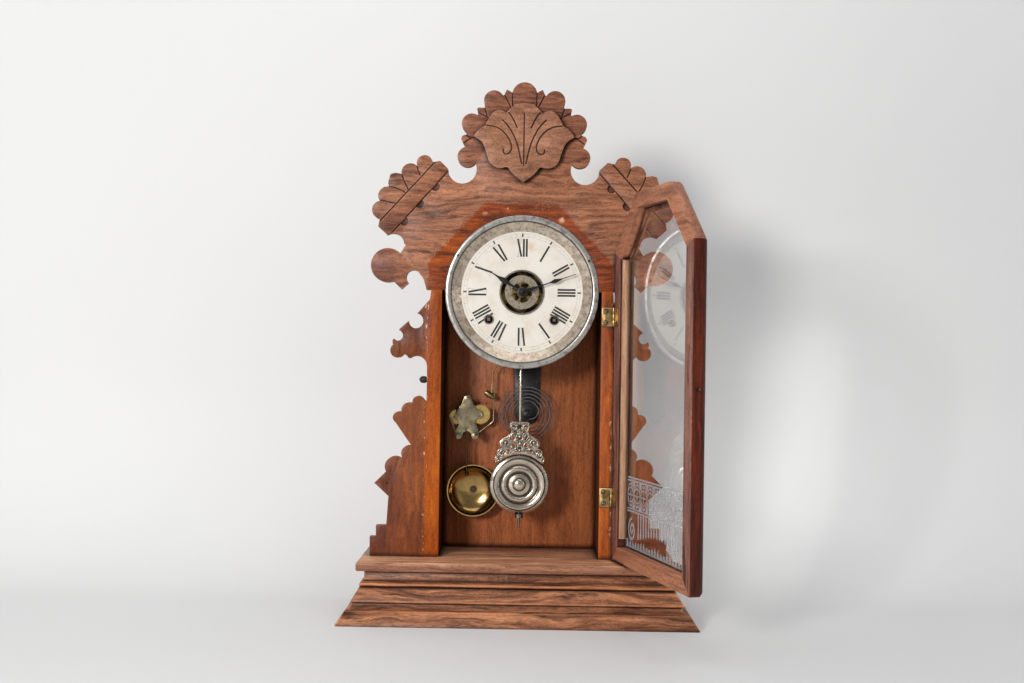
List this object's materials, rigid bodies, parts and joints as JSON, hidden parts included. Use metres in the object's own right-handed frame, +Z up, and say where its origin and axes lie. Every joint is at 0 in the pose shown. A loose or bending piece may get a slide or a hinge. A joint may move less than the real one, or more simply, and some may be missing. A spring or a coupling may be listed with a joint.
{
  "type": "shelf clock",
  "caption": "Carved wooden shelf clock with a fretted crest, side wings and stepped base; its hinged glazed door stands open on a round dial, a pendulum, a coil gong and an alarm bell.",
  "frame": {"origin": "underside of the base, below the middle of the case", "axes": "+X to the clock's left-hand side as it faces you on the right, +Y to the back, +Z up; the dial faces -Y"},
  "size_m": [0.365, 0.2658, 0.5605],
  "materials": {
    "base_oak": "old worn varnish, dark streaks",
    "case_oak": "old varnish",
    "front_oak": "faded varnish",
    "ornament_oak": "faded varnish",
    "door_oak": "thin varnish",
    "strip_wood": "bare",
    "glass": "clear with frosted lattice bands",
    "dial_paint": "aged cream paint",
    "nickel": "aged nickel plate",
    "brass": "tarnished",
    "blued_steel": "blackened",
    "steel": "aged",
    "black_iron": "black"
  },
  "bodies": {
    "case": {"base_bottom": "base_oak", "base_front_moulding": "base_oak", "base_side_mouldings": "base_oak", "base_back_rail": "base_oak", "shelf_board": "base_oak", "case_sides": "case_oak", "case_top": "case_oak", "back_board": "case_oak", "left_front_board": "front_oak", "right_front_board": "front_oak", "crest_board": "front_oak", "crest_ornament": "ornament_oak", "dial_plate": "dial_paint", "dial_bezel": "nickel", "dial_rings": "nickel", "movement_front_plate": "brass", "movement_back_plate": "brass", "movement_pillars": "brass", "time_mainspring": "steel", "strike_mainspring": "steel", "gong_stand": "black_iron", "gong_coil": "black_iron", "alarm_plates": "brass", "bell": "brass", "bell_post": "steel", "hinge_case_leaves": "brass", "latch_screw": "black_iron"},
    "door": {"door_hinge_stile": "door_oak", "door_free_stile": "door_oak", "door_bottom_rail": "door_oak", "door_top_rails": "door_oak", "door_glass": "glass", "door_glass_strips": "strip_wood", "hinge_door_leaves": "brass", "latch_pin": "steel"},
    "latch": {"latch_hook": "black_iron"},
    "minute": {"minute_hand": "blued_steel", "centre_arbor": "brass"},
    "hour": {"hour_hand": "blued_steel", "hour_wheel": "brass"},
    "motion": {"minute_wheel": "brass"},
    "time_second": {"time_second_wheel": "brass"},
    "time_third": {"time_third_wheel": "brass"},
    "escape": {"escape_wheel": "brass"},
    "time_main": {"time_main_wheel": "brass"},
    "time_winding": {"time_winding_arbor": "steel"},
    "strike_main": {"strike_main_wheel": "brass"},
    "strike_winding": {"strike_winding_arbor": "steel"},
    "strike_second": {"strike_second_wheel": "brass"},
    "strike_third": {"strike_third_wheel": "brass"},
    "fly": {"strike_fly": "brass"},
    "hammer": {"strike_hammer": "brass"},
    "pendulum": {"pendulum_rod": "steel", "bob_ornament": "brass", "pendulum_bob": "nickel"},
    "verge": {"verge": "steel"},
    "alarm_disc": {"alarm_disc": "nickel"},
    "alarm_main": {"alarm_wheel": "brass"},
    "alarm_escapement": {"alarm_escape": "brass"},
    "alarm_hammer": {"alarm_hammer": "brass"}
  },
  "joints": [
    {"name": "door_hinge", "type": "hinge", "parent": "case", "child": "door", "pos_m": [0.0965, -0.0112, 0.22], "axis": [0, 0, 1], "range_deg": [-106.6, 0]},
    {"name": "latch_turn", "type": "hinge", "parent": "case", "child": "latch", "pos_m": [-0.0997, -0.0045, 0.2465], "axis": [1, 0, 0], "range_deg": [0, 180]},
    {"name": "minute_turn", "type": "hinge", "parent": "case", "child": "minute", "pos_m": [0, 0.03, 0.34], "axis": [0, 1, 0], "continuous": true},
    {"name": "hour_turn", "type": "hinge", "parent": "case", "child": "hour", "pos_m": [0, 0.03, 0.34], "axis": [0, 1, 0], "continuous": true},
    {"name": "motion_turn", "type": "hinge", "parent": "case", "child": "motion", "pos_m": [0, 0.03, 0.324], "axis": [0, 1, 0], "continuous": true},
    {"name": "time_second_turn", "type": "hinge", "parent": "case", "child": "time_second", "pos_m": [0.03, 0.03, 0.342], "axis": [0, 1, 0], "continuous": true},
    {"name": "time_third_turn", "type": "hinge", "parent": "case", "child": "time_third", "pos_m": [0.012, 0.03, 0.367], "axis": [0, 1, 0], "continuous": true},
    {"name": "escape_turn", "type": "hinge", "parent": "case", "child": "escape", "pos_m": [0, 0.03, 0.383], "axis": [0, 1, 0], "continuous": true},
    {"name": "time_main_turn", "type": "hinge", "parent": "case", "child": "time_main", "pos_m": [0.0345, 0.03, 0.311], "axis": [0, 1, 0], "continuous": true},
    {"name": "time_winding_turn", "type": "hinge", "parent": "time_main", "child": "time_winding", "pos_m": [0.0345, 0.03, 0.311], "axis": [0, 1, 0], "continuous": true},
    {"name": "strike_second_turn", "type": "hinge", "parent": "case", "child": "strike_second", "pos_m": [-0.03, 0.03, 0.342], "axis": [0, 1, 0], "continuous": true},
    {"name": "strike_main_turn", "type": "hinge", "parent": "case", "child": "strike_main", "pos_m": [-0.0345, 0.03, 0.311], "axis": [0, 1, 0], "continuous": true},
    {"name": "strike_winding_turn", "type": "hinge", "parent": "strike_main", "child": "strike_winding", "pos_m": [-0.0345, 0.03, 0.311], "axis": [0, 1, 0], "continuous": true},
    {"name": "strike_third_turn", "type": "hinge", "parent": "case", "child": "strike_third", "pos_m": [-0.012, 0.03, 0.367], "axis": [0, 1, 0], "continuous": true},
    {"name": "fly_turn", "type": "hinge", "parent": "case", "child": "fly", "pos_m": [-0.029, 0.03, 0.376], "axis": [0, 1, 0], "continuous": true},
    {"name": "hammer_lift", "type": "hinge", "parent": "case", "child": "hammer", "pos_m": [0, 0.03, 0.294], "axis": [0, 1, 0], "range_deg": [0, 12]},
    {"name": "pendulum_swing", "type": "hinge", "parent": "case", "child": "pendulum", "pos_m": [0, 0.0105, 0.4], "axis": [0, 1, 0], "range_deg": [-4, 4]},
    {"name": "verge_rock", "type": "hinge", "parent": "case", "child": "verge", "pos_m": [0, 0.03, 0.4], "axis": [0, 1, 0], "range_deg": [-4, 4]},
    {"name": "alarm_setting", "type": "hinge", "parent": "hour", "child": "alarm_disc", "pos_m": [0, 0.03, 0.34], "axis": [0, 1, 0], "continuous": true},
    {"name": "alarm_main_turn", "type": "hinge", "parent": "case", "child": "alarm_main", "pos_m": [-0.0433, 0.03, 0.2084], "axis": [0, 1, 0], "continuous": true},
    {"name": "alarm_escape_turn", "type": "hinge", "parent": "case", "child": "alarm_escapement", "pos_m": [-0.0694, 0.03, 0.205], "axis": [0, 1, 0], "continuous": true},
    {"name": "alarm_hammer_swing", "type": "hinge", "parent": "case", "child": "alarm_hammer", "pos_m": [-0.0585, 0.03, 0.192], "axis": [0, 1, 0], "range_deg": [-4, 4]}
  ],
  "couplings": [
    {"joint": "hour_turn", "follows": "minute_turn", "ratio": 0.083333},
    {"joint": "motion_turn", "follows": "minute_turn", "ratio": -0.33333},
    {"joint": "time_second_turn", "follows": "minute_turn", "ratio": -0.16667},
    {"joint": "time_main_turn", "follows": "minute_turn", "ratio": 0.024691},
    {"joint": "time_third_turn", "follows": "minute_turn", "ratio": -9.1429},
    {"joint": "escape_turn", "follows": "minute_turn", "ratio": 83.592},
    {"joint": "strike_main_turn", "follows": "strike_second_turn", "ratio": -0.14815},
    {"joint": "strike_third_turn", "follows": "strike_second_turn", "ratio": -6},
    {"joint": "fly_turn", "follows": "strike_second_turn", "ratio": 42},
    {"joint": "verge_rock", "follows": "pendulum_swing", "ratio": 1}
  ]
}
